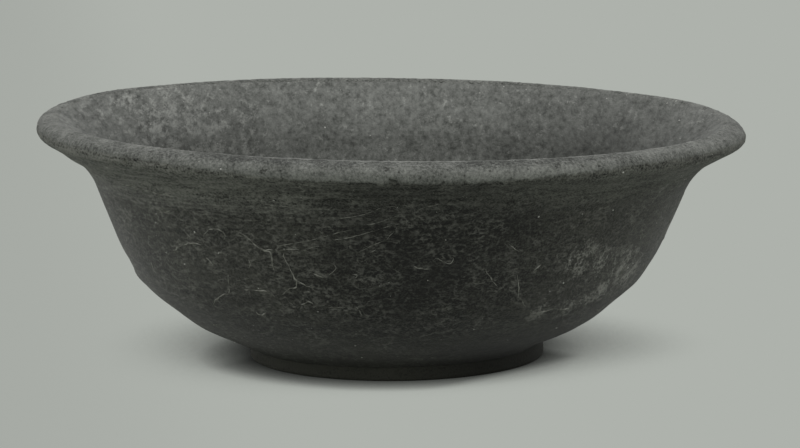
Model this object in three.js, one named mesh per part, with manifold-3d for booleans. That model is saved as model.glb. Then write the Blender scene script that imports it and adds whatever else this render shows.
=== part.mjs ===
// A shallow earthenware bowl with a rolled lip, a broken shoulder and a low ring foot.
// It is raised from five pieces of clay: a base disc, two wall coils, a lip coil and a foot ring.
// Millimetres, +Z up. The origin is on the table, under the middle of the rim.

import * as THREE from "three";
import { mergeVertices } from "three/addons/utils/BufferGeometryUtils.js";
import Module from "manifold-3d";

// Lip: radii from the bowl's axis, heights above the underside of the base
const rimRadius = 90; // out to the tip of the lip
const rimHeight = 59.6; // up to the ridge along the top of the lip
const lipNoseRadius = 2.5; // rounding of the lip's tip
const lipNoseDrop = 3.2; // middle of that rounding below the ridge
const lipRidgeInset = 4.8; // ridge inside the tip
const lipRidgeRounding = 1.1; // length that the ridge's rounding takes on each side
const lipCreaseRounding = 5.8; // length that the hollow under the lip takes on each side
const lipInsideRise = 7; // how far the inside bends slowly on before it has turned out into the lip

// Upper wall, from the shoulder to the seam under the lip
const neckRadius = 75.4;
const neckHeight = 42.9;
const upperWallThickness = 5.3;
const upperWallBulge = 0.6; // swell of the outside off a straight line
const upperWallFullest = 0.45; // where along the wall it swells most
const upperInsideBulge = 0.6;

// Lower wall, from the base to the shoulder
const shoulderRadius = 65.3;
const shoulderHeight = 20.9;
const lowerWallBulge = 2.4;
const lowerWallFullest = 0.62;
const lowerInsideBulge = 2.6;
const lowerInsideFullest = 0.55;

// Base
const baseRadius = 34.5;
const baseEdgeThickness = 6.8; // measured along the seam with the lower wall
const floorThickness = 5.6; // in the middle
const baseSeamSlope = 65; // degrees from level, leaning inwards going up

// Foot ring, and how the bowl sits on it
const footRadius = 37.7;
const footWidth = 6.5;
const footEdgeRounding = 0.8;
const footRecess = 2.1; // underside of the base above the table
const footOffset = 2.5; // foot ring off the bowl's axis, towards +X
const slipSeam = 0.3; // layer of slip between the foot ring and the bowl
const bowlLean = 1.28; // degrees, towards +X

// Smoothness
const turnSteps = 72;
const curveSteps = 6;

// Clay colours: the lip is worn paler, and the foot is the darkest
const clayColours = {
  rim: 0x5f615d,
  upper_wall: 0x454641,
  lower_wall: 0x41423d,
  base_disc: 0x4c4d49,
  foot_ring: 0x383933,
};
const clayRoughness = 0.75;

const wasm = await Module();
wasm.setup();

// Corners of the section, as radius and height
const point = (radius, height) => new THREE.Vector2(radius, height);
const along = (from, to, length) => to.clone().sub(from).setLength(length).add(from);

const baseEdge = point(baseRadius, 0);
const shoulder = point(shoulderRadius, shoulderHeight);
const neck = point(neckRadius, neckHeight);

const wallDirection = neck.clone().sub(shoulder).normalize();
const wallInwards = point(-wallDirection.y, wallDirection.x).multiplyScalar(upperWallThickness);
const shoulderInside = shoulder.clone().add(wallInwards);
const neckInside = neck.clone().add(wallInwards);

const baseSeamAngle = THREE.MathUtils.degToRad(baseSeamSlope);
const baseSeamRun = baseEdgeThickness * Math.cos(baseSeamAngle);
const baseSeamRise = baseEdgeThickness * Math.sin(baseSeamAngle);
const baseInside = point(baseRadius - baseSeamRun, baseSeamRise);

const lipNose = point(rimRadius - lipNoseRadius, rimHeight - lipNoseDrop);
const lipRidge = point(rimRadius - lipRidgeInset, rimHeight);
const lipCrease = neck.clone().addScaledVector(wallDirection, lipCreaseRounding);
const lipInside = neckInside.clone().addScaledVector(wallDirection, lipInsideRise);

// Adds a curve to the end point that swells off the straight line, to the right where the bulge is positive
function swellTo(path, end, bulge, fullest = 0.5) {
  const start = path.currentPoint.clone();
  const chord = end.clone().sub(start);
  const side = point(chord.y, -chord.x).setLength(2 * bulge);
  const pull = start.addScaledVector(chord, 2 * fullest - 0.5).add(side);
  path.quadraticCurveTo(pull.x, pull.y, end.x, end.y);
}

function lineTo(path, end) {
  path.lineTo(end.x, end.y);
}

function curveTo(path, pull, end) {
  path.quadraticCurveTo(pull.x, pull.y, end.x, end.y);
}

function pathFrom(start) {
  const path = new THREE.Path();
  path.moveTo(start.x, start.y);
  return path;
}

// Angle on the lip's nose where a line from an outside point touches it, on its lower or upper side
function touchAngle(from, lowerSide) {
  const reach = lipNose.clone().sub(from);
  const turn = Math.asin(lipNoseRadius / reach.length());
  return lowerSide ? reach.angle() - turn - Math.PI / 2 : reach.angle() + turn + Math.PI / 2;
}

// Turns a section around the axis, which becomes Z
function turned(path) {
  const geometry = new THREE.LatheGeometry(path.getPoints(curveSteps), turnSteps);
  geometry.rotateX(Math.PI / 2);
  return geometry;
}

function rimGeometry() {
  const noseStart = touchAngle(lipCrease, true);
  const noseEnd = touchAngle(lipRidge, false);
  const noseBelow = point(Math.cos(noseStart), Math.sin(noseStart)).multiplyScalar(lipNoseRadius).add(lipNose);
  const noseAbove = point(Math.cos(noseEnd), Math.sin(noseEnd)).multiplyScalar(lipNoseRadius).add(lipNose);
  const path = pathFrom(neck);
  curveTo(path, lipCrease, along(lipCrease, noseBelow, lipCreaseRounding));
  lineTo(path, noseBelow);
  path.absarc(lipNose.x, lipNose.y, lipNoseRadius, noseStart, noseEnd, false);
  lineTo(path, along(lipRidge, noseAbove, lipRidgeRounding));
  curveTo(path, lipRidge, along(lipRidge, lipInside, lipRidgeRounding));
  curveTo(path, lipInside, neckInside);
  lineTo(path, neck);
  return turned(path);
}

function upperWallGeometry() {
  const path = pathFrom(shoulder);
  swellTo(path, neck, upperWallBulge, upperWallFullest);
  lineTo(path, neckInside);
  swellTo(path, shoulderInside, -upperInsideBulge);
  lineTo(path, shoulder);
  return turned(path);
}

function lowerWallGeometry() {
  const path = pathFrom(baseEdge);
  swellTo(path, shoulder, lowerWallBulge, lowerWallFullest);
  lineTo(path, shoulderInside);
  swellTo(path, baseInside, -lowerInsideBulge, 1 - lowerInsideFullest);
  lineTo(path, baseEdge);
  return turned(path);
}

function baseDiscGeometry() {
  const path = pathFrom(point(0, 0));
  lineTo(path, baseEdge);
  lineTo(path, baseInside);
  curveTo(path, point(baseInside.x / 2, floorThickness), point(0, floorThickness));
  return turned(path);
}

// Closed mesh with shared vertices, as joining and cutting need it
function solidOf(geometry) {
  geometry.deleteAttribute("normal");
  geometry.deleteAttribute("uv");
  const merged = mergeVertices(geometry, 1e-3);
  const corners = merged.index.array;
  const triVerts = [];
  for (let i = 0; i < corners.length; i += 3) {
    const [a, b, c] = corners.slice(i, i + 3);
    if (a !== b && b !== c && c !== a) {
      triVerts.push(a, b, c);
    }
  }
  const vertProperties = new Float32Array(merged.attributes.position.array);
  return new wasm.Manifold(new wasm.Mesh({ numProp: 3, vertProperties, triVerts: new Uint32Array(triVerts) }));
}

function geometryOf(solid) {
  const mesh = solid.getMesh();
  const geometry = new THREE.BufferGeometry();
  geometry.setAttribute("position", new THREE.BufferAttribute(mesh.vertProperties, 3));
  geometry.setIndex(new THREE.BufferAttribute(mesh.triVerts, 1));
  geometry.computeVertexNormals();
  return geometry;
}

// The ring is thrown tall and cut to the leaning underside of the bowl, less the layer of slip
function footRingGeometry(bowl) {
  const inner = footRadius - footWidth;
  const top = footRecess + shoulderHeight;
  const ringPath = pathFrom(point(inner + footEdgeRounding, 0));
  lineTo(ringPath, point(footRadius - footEdgeRounding, 0));
  curveTo(ringPath, point(footRadius, 0), point(footRadius, footEdgeRounding));
  lineTo(ringPath, point(footRadius, top));
  lineTo(ringPath, point(inner, top));
  lineTo(ringPath, point(inner, footEdgeRounding));
  curveTo(ringPath, point(inner, 0), point(inner + footEdgeRounding, 0));
  const ring = turned(ringPath);
  ring.translate(bowl.position.x + footOffset, 0, 0);

  const lowered = (corner) => point(corner.x, corner.y - slipSeam);
  const clearTop = 2 * top;
  const underPath = pathFrom(point(0, -slipSeam));
  lineTo(underPath, lowered(baseEdge));
  swellTo(underPath, lowered(shoulder), lowerWallBulge, lowerWallFullest);
  lineTo(underPath, point(shoulderRadius, clearTop));
  lineTo(underPath, point(0, clearTop));
  const underside = turned(underPath);
  underside.applyMatrix4(bowl.matrix);
  return geometryOf(solidOf(ring).subtract(solidOf(underside)));
}

function clayPiece(name, geometry) {
  const material = new THREE.MeshStandardMaterial({
    color: clayColours[name],
    roughness: clayRoughness,
    metalness: 0,
  });
  const mesh = new THREE.Mesh(geometry, material);
  mesh.name = name;
  return mesh;
}

// The bowl leans on its foot, with the widest part of the lip centred over the origin
const lean = THREE.MathUtils.degToRad(bowlLean);
const bowl = new THREE.Group();
bowl.rotation.y = lean;
bowl.position.set(-lipNose.y * Math.sin(lean), 0, footRecess);
bowl.updateMatrix();
bowl.add(clayPiece("base_disc", baseDiscGeometry()));
bowl.add(clayPiece("lower_wall", lowerWallGeometry()));
bowl.add(clayPiece("upper_wall", upperWallGeometry()));
bowl.add(clayPiece("rim", rimGeometry()));

const part = new THREE.Group();
part.add(clayPiece("foot_ring", footRingGeometry(bowl)));
part.add(bowl);

export default part;
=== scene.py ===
import math
import random

import bpy
from mathutils import Matrix, Vector


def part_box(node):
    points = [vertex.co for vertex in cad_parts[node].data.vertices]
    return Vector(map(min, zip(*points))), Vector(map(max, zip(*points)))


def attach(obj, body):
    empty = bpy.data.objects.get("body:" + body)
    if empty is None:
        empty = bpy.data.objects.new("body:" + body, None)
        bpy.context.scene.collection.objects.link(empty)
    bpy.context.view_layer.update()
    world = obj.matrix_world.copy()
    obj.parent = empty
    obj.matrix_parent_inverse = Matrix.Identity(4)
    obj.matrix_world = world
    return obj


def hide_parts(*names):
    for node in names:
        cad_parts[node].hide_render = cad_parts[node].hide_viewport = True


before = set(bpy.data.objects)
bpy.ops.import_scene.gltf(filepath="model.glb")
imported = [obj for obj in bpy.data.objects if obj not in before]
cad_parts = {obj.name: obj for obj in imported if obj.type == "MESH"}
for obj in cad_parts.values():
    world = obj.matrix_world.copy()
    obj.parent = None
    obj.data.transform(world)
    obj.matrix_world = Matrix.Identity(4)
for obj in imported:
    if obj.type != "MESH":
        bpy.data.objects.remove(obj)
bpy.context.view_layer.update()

# The shallow bowl: dark-fired earthenware, thrown on a wheel, worn in the ground and shown on plain paper.
# The scene is in metres. Sizes and places are written in millimetres, and this turns them to metres.
MM = 0.001


def width_of(node):
    """Size of a solid across the direction that the bowl doesn't lean in, in millimetres."""
    low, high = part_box(node)
    return (high.y - low.y) / MM


# Section of the bowl, as in the solids: radii from its axis, heights above the underside of the base
RIM_RADIUS = width_of("rim") / 2
RIM_HEIGHT = 59.6
LIP_NOSE_RADIUS = 2.5
LIP_NOSE_DROP = 3.2
LIP_RIDGE_INSET = 4.8
LIP_RIDGE_ROUNDING = 1.1
LIP_CREASE_ROUNDING = 5.8
LIP_INSIDE_RISE = 7.0
NECK_RADIUS = width_of("upper_wall") / 2
NECK_HEIGHT = 42.9
UPPER_WALL_THICKNESS = 5.3
UPPER_WALL_BULGE = 0.6
UPPER_WALL_FULLEST = 0.45
UPPER_INSIDE_BULGE = 0.6
SHOULDER_RADIUS = width_of("lower_wall") / 2
SHOULDER_HEIGHT = 20.9
LOWER_WALL_BULGE = 2.4
LOWER_WALL_FULLEST = 0.62
LOWER_INSIDE_BULGE = 2.6
LOWER_INSIDE_FULLEST = 0.55
BASE_RADIUS = width_of("base_disc") / 2
BASE_EDGE_THICKNESS = 6.8
BASE_SEAM_SLOPE = 65.0
FLOOR_THICKNESS = 5.6

# Foot ring, and how the bowl leans on it
FOOT_RADIUS = width_of("foot_ring") / 2
FOOT_WIDTH = 6.5
FOOT_EDGE_ROUNDING = 0.8
FOOT_TOP = 6.2  # the ring's top is sunk this high into the clay of the base
FOOT_RECESS = 2.1
BOWL_LEAN = 1.28

# Wear, dust and painted light along the section
WORN_BELOW_NOSE = 2.6  # the slip starts to wear off this far below the middle of the lip's nose
WORN_RISE = 3.6  # and is gone this much higher
WORN_INSIDE_RIDGE = (2.0, 0.6)  # inside the ridge, where the slip is whole and where it is gone
RIDGE_RUBBED_AND_HIGHLIGHT = (0.3, 1.1)  # from the ridge, where the rubbed line with its painted highlight is full and where it ends
NOSE_LIGHT_DROP = 2.3  # below the ridge, where the painted light on the lip's nose is full
DUST_THICKENS = (-2.0, 9.0)  # heights between which the dust grows to its full above the foot
DUST_ENDS = 7.0  # above the neck, where there is no more dust

# Fineness of the meshes
TURN_STEPS = 640
CURVE_STEPS = 48
SECTION_SPACING = 0.7
LIP_SPACING = 0.5
SAME_POINT = 1e-6
MERGE_DISTANCE = 0.001
SHARP_EDGE = 50.0  # an edge that turns by more degrees than this stays sharp

# Camera, as fitted to the photograph's outline
CAMERA_ELEVATION = 8.83
CAMERA_DISTANCE = 901.6
CAMERA_AIM = (2.35, 0.0, 33.54)
CAMERA_ROLL = 0.617
CAMERA_NEAR_LIMIT = 10.0
IMAGE_WIDTH_PX = 800
FOCAL_LENGTH_PX = 3516.6
SENSOR_WIDTH = 36.0


# Section of the bowl

def bend(start, pull, end):
    """Points of a curve from start to end, drawn towards pull."""
    shares = [i / CURVE_STEPS for i in range(CURVE_STEPS + 1)]
    return [start.lerp(pull, t).lerp(pull.lerp(end, t), t) for t in shares]


def swell(start, end, bulge, fullest=0.5):
    """Curve that swells off the straight line, to the right where the bulge is positive."""
    chord = end - start
    side = Vector((chord.y, -chord.x)).normalized() * 2 * bulge
    return bend(start, start + chord * (2 * fullest - 0.5) + side, end)


def arc(centre, radius, first, last):
    angles = [first + (last - first) * i / CURVE_STEPS for i in range(CURVE_STEPS + 1)]
    return [centre + radius * Vector((math.cos(a), math.sin(a))) for a in angles]


def towards(start, end, length):
    return start + (end - start).normalized() * length


def evenly(points, spacing):
    """The same line, with its points a steady distance apart."""
    lengths = [0.0]
    for a, b in zip(points, points[1:]):
        lengths.append(lengths[-1] + (b - a).length)
    count = max(1, round(lengths[-1] / spacing))
    found = []
    place = 0
    for i in range(count + 1):
        wanted = lengths[-1] * i / count
        while place < len(points) - 2 and lengths[place + 1] < wanted:
            place += 1
        stretch = lengths[place + 1] - lengths[place]
        share = (wanted - lengths[place]) / stretch if stretch else 0.0
        found.append(points[place].lerp(points[place + 1], share))
    return found


def smooth_step(low, high, value):
    share = min(1.0, max(0.0, (value - low) / (high - low)))
    return share * share * (3 - 2 * share)


base_edge = Vector((BASE_RADIUS, 0.0))
shoulder = Vector((SHOULDER_RADIUS, SHOULDER_HEIGHT))
neck = Vector((NECK_RADIUS, NECK_HEIGHT))
wall_direction = (neck - shoulder).normalized()
wall_inwards = Vector((-wall_direction.y, wall_direction.x)) * UPPER_WALL_THICKNESS
shoulder_inside = shoulder + wall_inwards
neck_inside = neck + wall_inwards
base_seam_angle = math.radians(BASE_SEAM_SLOPE)
base_seam = Vector((-math.cos(base_seam_angle), math.sin(base_seam_angle))) * BASE_EDGE_THICKNESS
base_inside = base_edge + base_seam
lip_nose = Vector((RIM_RADIUS - LIP_NOSE_RADIUS, RIM_HEIGHT - LIP_NOSE_DROP))
lip_ridge = Vector((RIM_RADIUS - LIP_RIDGE_INSET, RIM_HEIGHT))
lip_crease = neck + wall_direction * LIP_CREASE_ROUNDING
lip_inside = neck_inside + wall_direction * LIP_INSIDE_RISE

# Each run of a section says which face of the bowl it has
OUTSIDE = 0.0
INSIDE = 1.0


def touch_angle(start, side):
    """Angle on the lip's nose where a line from start touches it, below (-1) or above (1)."""
    reach = lip_nose - start
    turn = math.asin(LIP_NOSE_RADIUS / reach.length)
    return math.atan2(reach.y, reach.x) + side * (turn + math.pi / 2)


def rim_section():
    first = touch_angle(lip_crease, -1)
    last = touch_angle(lip_ridge, 1)
    nose = arc(lip_nose, LIP_NOSE_RADIUS, first, last)
    outside = bend(neck, lip_crease, towards(lip_crease, nose[0], LIP_CREASE_ROUNDING)) + nose
    outside += bend(towards(lip_ridge, nose[-1], LIP_RIDGE_ROUNDING), lip_ridge,
                    towards(lip_ridge, lip_inside, LIP_RIDGE_ROUNDING))
    inside = bend(outside[-1], lip_inside, neck_inside)
    seam = [neck_inside, neck]
    return [(outside, OUTSIDE), (inside, INSIDE), (seam, INSIDE)]


def upper_wall_section():
    outside = swell(shoulder, neck, UPPER_WALL_BULGE, UPPER_WALL_FULLEST)
    upper_seam = [neck, neck_inside]
    inside = swell(neck_inside, shoulder_inside, -UPPER_INSIDE_BULGE)
    lower_seam = [shoulder_inside, shoulder]
    return [(outside, OUTSIDE), (upper_seam, OUTSIDE), (inside, INSIDE), (lower_seam, INSIDE)]


def lower_wall_section():
    outside = swell(base_edge, shoulder, LOWER_WALL_BULGE, LOWER_WALL_FULLEST)
    upper_seam = [shoulder, shoulder_inside]
    inside = swell(shoulder_inside, base_inside, -LOWER_INSIDE_BULGE, 1 - LOWER_INSIDE_FULLEST)
    lower_seam = [base_inside, base_edge]
    return [(outside, OUTSIDE), (upper_seam, OUTSIDE), (inside, INSIDE), (lower_seam, INSIDE)]


def base_disc_section():
    underside = [Vector((0.0, 0.0)), base_edge]
    seam = [base_edge, base_inside]
    inside = bend(base_inside, Vector((base_inside.x / 2, FLOOR_THICKNESS)), Vector((0.0, FLOOR_THICKNESS)))
    return [(underside, OUTSIDE), (seam, OUTSIDE), (inside, INSIDE)]


def foot_ring_section():
    inner = FOOT_RADIUS - FOOT_WIDTH
    turn = FOOT_EDGE_ROUNDING
    sole = [Vector((inner + turn, 0.0)), Vector((FOOT_RADIUS - turn, 0.0))]
    outside = sole + bend(sole[1], Vector((FOOT_RADIUS, 0.0)), Vector((FOOT_RADIUS, turn)))
    outside.append(Vector((FOOT_RADIUS, FOOT_TOP)))
    top = [outside[-1], Vector((inner, FOOT_TOP))]
    back = [top[-1]] + bend(Vector((inner, turn)), Vector((inner, 0.0)), sole[0])
    return [(outside, OUTSIDE), (top, OUTSIDE), (back, OUTSIDE)]


def worn_at(point):
    """How far the slip is worn off the lip: fully on its top, less down its nose, not inside."""
    below = min(1.0, max(0.0, (point.y - lip_nose.y + WORN_BELOW_NOSE) / WORN_RISE))
    whole, gone = WORN_INSIDE_RIDGE
    return below * smooth_step(lip_ridge.x - whole, lip_ridge.x - gone, point.x)


def rubbed_and_highlit_at(point):
    """How far the ridge of the lip is rubbed bright, with a painted highlight: a fine line."""
    return 1 - smooth_step(*RIDGE_RUBBED_AND_HIGHLIGHT, (point - lip_ridge).length)


def painted_nose_light_at(point):
    """How far the lip lies below its ridge, for painted light on its nose and painted shade on its ridge."""
    return smooth_step(lip_ridge.y, lip_ridge.y - NOSE_LIGHT_DROP, point.y)


def dusty_at(point, inside):
    """How far dust has settled on the slip: most on the open wall, and none under the lip or inside."""
    above_foot = smooth_step(*DUST_THICKENS, point.y)
    under_lip = smooth_step(neck.y, neck.y + DUST_ENDS, point.y)
    return (1 - inside) * above_foot * (1 - under_lip)


def new_object(name, data):
    made = bpy.data.objects.new(name, data)
    bpy.context.scene.collection.objects.link(made)
    return made


def section_object(name, runs, spacing):
    """The section as a line of points that carry its wear and painted light, and whether it closes on itself.
    """
    points = []
    insides = []
    for run, inside in runs:
        for point in evenly(run, spacing)[:-1]:
            points.append(point)
            insides.append(inside)
    last_run, last_inside = runs[-1]
    closed = (last_run[-1] - points[0]).length < SAME_POINT
    if not closed:
        points.append(last_run[-1])
        insides.append(last_inside)
    mesh = bpy.data.meshes.new(name)
    edges = [(i, i + 1) for i in range(len(points) - 1)]
    mesh.from_pydata([(p.x * MM, 0.0, p.y * MM) for p in points], edges, [])
    wear = {
        "inside": insides,
        "worn": [worn_at(p) for p in points],
        "rubbed": [rubbed_and_highlit_at(p) for p in points],
        "handled": [painted_nose_light_at(p) for p in points],
        "dusty": [dusty_at(p, inside) for p, inside in zip(points, insides)],
    }
    for label, values in wear.items():
        mesh.attributes.new(label, "FLOAT", "POINT").data.foreach_set("value", values)
    return new_object(name, mesh), closed


# Node trees

def add(tree, kind, inputs=None, out=0, **settings):
    """Adds a node and gives its output. An input takes a value, a socket to link, or a list of sockets."""
    made = tree.nodes.new(kind)
    for name, value in settings.items():
        setattr(made, name, value)
    for key, value in (inputs or {}).items():
        given = value if isinstance(value, list) else [value]
        for each in given:
            if isinstance(each, bpy.types.NodeSocket):
                tree.links.new(each, made.inputs[key])
            else:
                made.inputs[key].default_value = each
    return made.outputs if out is None else made.outputs[out]


def new_tree(name, sockets):
    """A geometry tree with its named inputs."""
    tree = bpy.data.node_groups.new(name, "GeometryNodeTree")
    tree.interface.new_socket("Geometry", in_out="INPUT", socket_type="NodeSocketGeometry")
    for label, kind in sockets:
        tree.interface.new_socket(label, in_out="INPUT", socket_type="NodeSocket" + kind)
    tree.interface.new_socket("Geometry", in_out="OUTPUT", socket_type="NodeSocketGeometry")
    return tree, add(tree, "NodeGroupInput", out=None)


def close_tree(tree, geometry, material):
    real = add(tree, "GeometryNodeRealizeInstances", {"Geometry": geometry})
    painted = add(tree, "GeometryNodeSetMaterial", {"Geometry": real, "Material": material})
    add(tree, "NodeGroupOutput", {0: painted}, out=None)


def grow(holder, tree, values, place=Matrix.Identity(4)):
    """Runs a tree on an object, and leaves the result in it as a plain mesh in its place."""
    modifier = holder.modifiers.new(tree.name, "NODES")
    modifier.node_group = tree
    for item in tree.interface.items_tree:
        if item.in_out == "INPUT" and item.name in values:
            modifier[item.identifier] = values[item.name]
    bpy.context.view_layer.update()
    evaluated = holder.evaluated_get(bpy.context.evaluated_depsgraph_get())
    mesh = bpy.data.meshes.new_from_object(evaluated)
    holder.modifiers.remove(modifier)
    mesh.transform(place)
    mesh.name = holder.name
    holder.data = mesh
    return holder


def scale_of(size):
    """Scale of a pattern whose forms are this many millimetres across."""
    return 1 / (size * MM)


def uneven(tree, place, size, detail=2.0):
    """Noise that swings around zero, in forms of a size."""
    noise = add(tree, "ShaderNodeTexNoise", {"Vector": place, "Scale": scale_of(size), "Detail": detail})
    return add(tree, "ShaderNodeMath", {0: noise, 1: 0.5}, operation="SUBTRACT")


def uneven_ways(tree, place, size, detail=2.0):
    """Noise that swings around zero in each direction."""
    noise = add(tree, "ShaderNodeTexNoise", {"Vector": place, "Scale": scale_of(size), "Detail": detail},
                out="Color")
    return add(tree, "ShaderNodeVectorMath", {0: noise, 1: (0.5, 0.5, 0.5)}, operation="SUBTRACT")


# Where the clay was pushed as it dried: azimuth, radius, height, reach, and the move outwards and upwards
PUSHES = [
    (-125, 85.0, 58.0, 20.0, 0.0, 0.35),
    (125, 85.0, 58.0, 20.0, 0.0, 0.15),
    (-116, 87.0, 59.0, 6.0, 0.0, 0.35),
    (100, 86.0, 60.0, 10.0, 0.0, 0.5),
    (-90, 76.0, 44.0, 22.0, -0.35, 0.0),
    (-90, 88.0, 57.0, 12.0, -0.35, 0.0),
    (90, 78.0, 44.0, 26.0, 0.4, 0.0),
    (90, 89.0, 57.5, 7.0, 0.3, -0.7),
    (90, 85.0, 52.5, 6.0, 0.0, 0.6),
    (90, 89.5, 54.5, 4.0, 0.5, -0.2),
    (-72, 82.0, 51.0, 5.0, 0.2, -0.4),
    (-88, 71.5, 33.0, 16.0, -0.3, 0.0),
    (85, 68.5, 27.0, 8.0, 0.3, 0.0),
    (78, 60.5, 14.5, 8.5, -1.05, 0.0),
    (80, 43.5, 4.3, 7.0, -1.0, 0.0),
    (71, 43.5, 4.6, 7.0, 0.0, 0.9),
    (-80, 48.5, 7.0, 10.0, 0.5, -0.5),
    (-83, 66.5, 23.5, 4.0, -0.2, 0.0),
    (-83, 64.0, 18.8, 3.0, 0.45, 0.0),
]
TURN_SHARE = 15.0  # a radian around the bowl takes up this much of a push's reach

# Unevenness of the clay
SWING_SIZE = 70.0  # slow swings of the whole wall, out of round
LUMP_SIZE = 9.0
WHEEL_LINE_SIZE = 3.5
WHEEL_LINE_DRIFT = 0.03  # a wheel line changes this much as fast around the bowl as up the wall
DOWNWARD_TIP = -0.7  # lumps and chips move the clay outwards, and this much of that downwards
PIT_SIZE = 1.6
CHIP_EDGE_SIZE = 2.0
CHIP_EDGE_STRAY = 3.0
CHIP_REACH = (0.4, 1.4)  # around the middle of a chip, where it is deepest and where it ends
SOIL_REACH = (0.2, 2.5)  # beside a root, where soil is thickest and where it ends


def turned_wall(tree, sizes):
    """The section turned around the axis, with the wear and painted light that its points carry."""
    section = sizes["Geometry"]

    # A grid with one row for each point of the section and one column for each step of the turn
    count = add(tree, "GeometryNodeAttributeDomainSize", {"Geometry": section}, out="Point Count")
    rows = add(tree, "ShaderNodeMath", {0: count, 1: sizes["Closed"]}, operation="ADD")
    columns = add(tree, "ShaderNodeMath", {0: sizes["Turn Steps"], 1: 1.0}, operation="ADD")
    grid = add(tree, "GeometryNodeMeshGrid", {"Vertices X": rows, "Vertices Y": columns})
    index = add(tree, "GeometryNodeInputIndex")
    share = add(tree, "ShaderNodeMath", {0: index, 1: columns}, operation="DIVIDE")
    row = add(tree, "ShaderNodeMath", {0: share}, operation="FLOOR")
    place = add(tree, "ShaderNodeMath", {0: row, 1: count}, operation="MODULO")
    column = add(tree, "ShaderNodeMath", {0: index, 1: columns}, operation="MODULO")
    part = add(tree, "ShaderNodeMath", {0: column, 1: sizes["Turn Steps"]}, operation="DIVIDE")
    angle = add(tree, "ShaderNodeMath", {0: part, 1: math.tau}, operation="MULTIPLY")

    # Each corner of the grid goes to its point of the section, turned
    position = add(tree, "GeometryNodeInputPosition")
    point = add(tree, "GeometryNodeSampleIndex", {"Geometry": section, "Value": position, "Index": place},
                data_type="FLOAT_VECTOR")
    spot = add(tree, "ShaderNodeSeparateXYZ", {0: point}, out=None)
    cosine = add(tree, "ShaderNodeMath", {0: angle}, operation="COSINE")
    sine = add(tree, "ShaderNodeMath", {0: angle}, operation="SINE")
    turned_x = add(tree, "ShaderNodeMath", {0: spot["X"], 1: cosine}, operation="MULTIPLY")
    turned_y = add(tree, "ShaderNodeMath", {0: spot["X"], 1: sine}, operation="MULTIPLY")
    turned = add(tree, "ShaderNodeCombineXYZ", {0: turned_x, 1: turned_y, 2: spot["Z"]})
    wall = add(tree, "GeometryNodeSetPosition", {"Geometry": grid, "Position": turned})
    for label in ("inside", "worn", "rubbed", "handled", "dusty"):
        own = add(tree, "GeometryNodeInputNamedAttribute", {"Name": label})
        kept = add(tree, "GeometryNodeSampleIndex", {"Geometry": section, "Value": own, "Index": place})
        wall = add(tree, "GeometryNodeStoreNamedAttribute", {"Geometry": wall, "Name": label, "Value": kept})
    return add(tree, "GeometryNodeMergeByDistance", {"Geometry": wall, "Distance": MERGE_DISTANCE * MM})


def soiled_beside_roots(tree, wall, roots, position):
    """Soil clings to the clay beside the roots."""
    lines = add(tree, "GeometryNodeObjectInfo", {"Object": roots}, out="Geometry")
    away = add(tree, "GeometryNodeProximity", {0: lines, "Sample Position": position}, out="Distance",
               target_element="EDGES")
    thickest, end = SOIL_REACH
    soil = add(tree, "ShaderNodeMapRange", {
        "Value": away, "From Min": thickest * MM, "From Max": end * MM, "To Min": 1.0, "To Max": 0.0},
        interpolation_type="SMOOTHSTEP")
    return add(tree, "GeometryNodeStoreNamedAttribute", {"Geometry": wall, "Name": "soiled", "Value": soil})


def chip_share(tree, chips, position):
    """How far the clay has broken away at a chip, with a ragged edge."""
    middles = add(tree, "GeometryNodeObjectInfo", {"Object": chips}, out="Geometry")
    ragged = uneven_ways(tree, position, CHIP_EDGE_SIZE)
    stray = Vector((1, 1, 1)) * CHIP_EDGE_STRAY * MM
    probe = add(tree, "ShaderNodeVectorMath", {0: ragged, 1: stray, 2: position}, operation="MULTIPLY_ADD")
    away = add(tree, "GeometryNodeProximity", {0: middles, "Sample Position": probe}, out="Distance",
               target_element="POINTS")
    deepest, end = CHIP_REACH
    return add(tree, "ShaderNodeMapRange", {
        "Value": away, "From Min": deepest * MM, "From Max": end * MM, "To Min": 1.0, "To Max": 0.0},
        interpolation_type="SMOOTHSTEP")


def pushed(tree, moved, unrolled, radial):
    """Adds the dents and swellings, which are measured on the unrolled wall."""
    for azimuth, middle_radius, middle_height, reach, out, up in PUSHES:
        middle = Vector((middle_radius, math.radians(azimuth) * TURN_SHARE, middle_height)) * MM
        away = add(tree, "ShaderNodeVectorMath", {0: unrolled, 1: middle}, out="Value", operation="DISTANCE")
        share = add(tree, "ShaderNodeMapRange", {
            "Value": away, "From Max": reach * MM, "To Min": 1.0, "To Max": 0.0},
            interpolation_type="SMOOTHSTEP")
        outward = Vector((out, out, out)) * MM
        upward = (0, 0, up * MM)
        move = add(tree, "ShaderNodeVectorMath", {0: radial, 1: outward, 2: upward}, operation="MULTIPLY_ADD")
        moved = add(tree, "ShaderNodeVectorMath", {0: move, 1: share, 2: moved}, operation="MULTIPLY_ADD")
    return moved


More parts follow.
